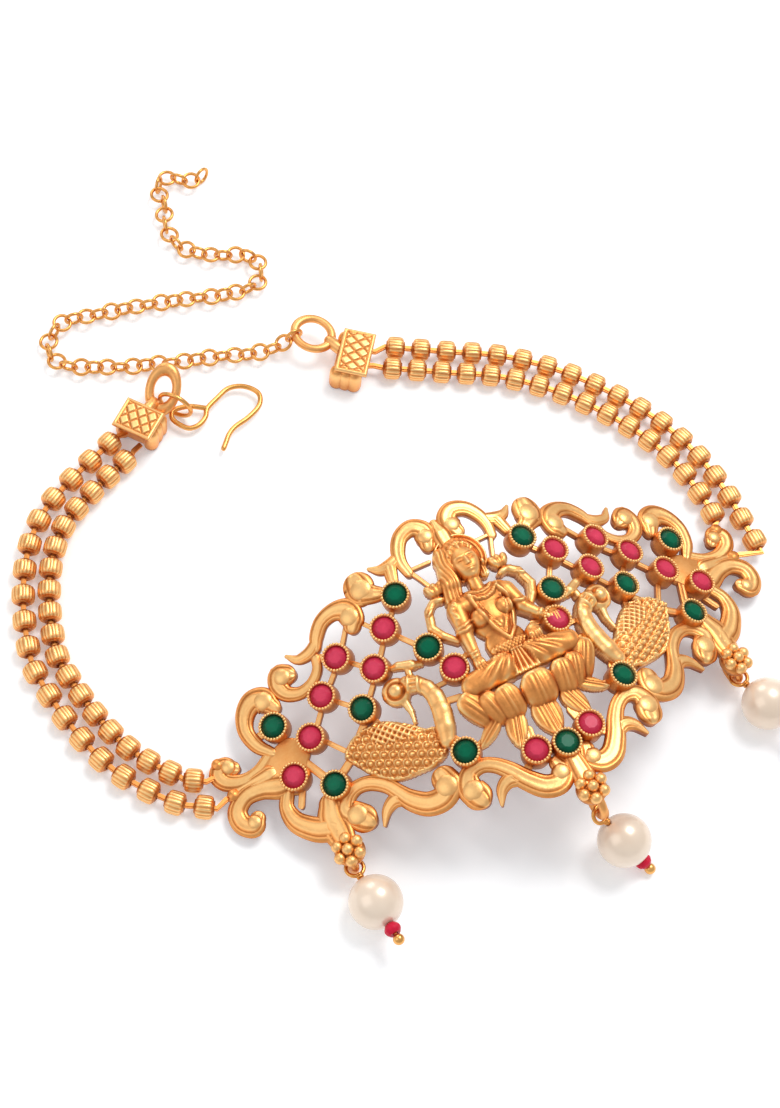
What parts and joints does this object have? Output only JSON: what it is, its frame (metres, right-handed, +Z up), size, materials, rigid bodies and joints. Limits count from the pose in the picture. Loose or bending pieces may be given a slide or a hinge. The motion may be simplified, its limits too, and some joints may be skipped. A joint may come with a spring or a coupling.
{
  "type": "arched plaque armlet",
  "caption": "Arched pierced plaque armlet set with cut stones, on bead strands with a ring and hook clasp, a free chain end and hanging pearl drops.",
  "frame": {"origin": "centre of the bounding box in plan, on the surface the armlet lies on", "axes": "+X along the plaque towards its right end, +Y from the plaque towards the clasp, +Z up from the table"},
  "size_m": [0.1135, 0.142, 0.0181],
  "materials": {
    "plaque_gold": "antique matte gilt",
    "bead_gold": "fluted gilt",
    "chain_gold": "gilt",
    "cap_gold": "engraved gilt",
    "wire_gold": "drawn gilt wire",
    "red_stone": "cut and polished",
    "green_stone": "cut and polished",
    "pearl": "pearl lustre",
    "red_bead": "cut and polished"
  },
  "bodies": {
    "root": {"plaque": "plaque_gold", "stone_mid": "green_stone", "stone_l01": "green_stone", "stone_l02": "red_stone", "stone_l03": "green_stone", "stone_l04": "red_stone", "stone_l05": "red_stone", "stone_l06": "red_stone", "stone_l07": "red_stone", "stone_l08": "green_stone", "stone_l09": "green_stone", "stone_l10": "red_stone", "stone_l11": "red_stone", "stone_l12": "green_stone", "stone_l13": "green_stone", "stone_l14": "red_stone", "stone_r01": "green_stone", "stone_r02": "red_stone", "stone_r03": "green_stone", "stone_r04": "red_stone", "stone_r05": "red_stone", "stone_r06": "red_stone", "stone_r07": "red_stone", "stone_r08": "green_stone", "stone_r09": "green_stone", "stone_r10": "red_stone", "stone_r11": "red_stone", "stone_r12": "green_stone", "stone_r13": "green_stone", "stone_r14": "red_stone", "strand_left_outer": "bead_gold", "strand_left_inner": "bead_gold", "strand_right_outer": "bead_gold", "strand_right_inner": "bead_gold", "wire_left_outer": "wire_gold", "wire_left_inner": "wire_gold", "wire_right_outer": "wire_gold", "wire_right_inner": "wire_gold", "cap_left": "cap_gold", "cap_right": "cap_gold", "jump_ring": "wire_gold", "hook": "wire_gold", "chain": "chain_gold", "drop_pin_left": "wire_gold", "drop_pin_mid": "wire_gold", "drop_pin_right": "wire_gold", "pearl_left": "pearl", "pearl_mid": "pearl", "pearl_right": "pearl", "red_bead_left": "red_bead", "red_bead_mid": "red_bead", "red_bead_right": "red_bead"}
  },
  "joints": []
}
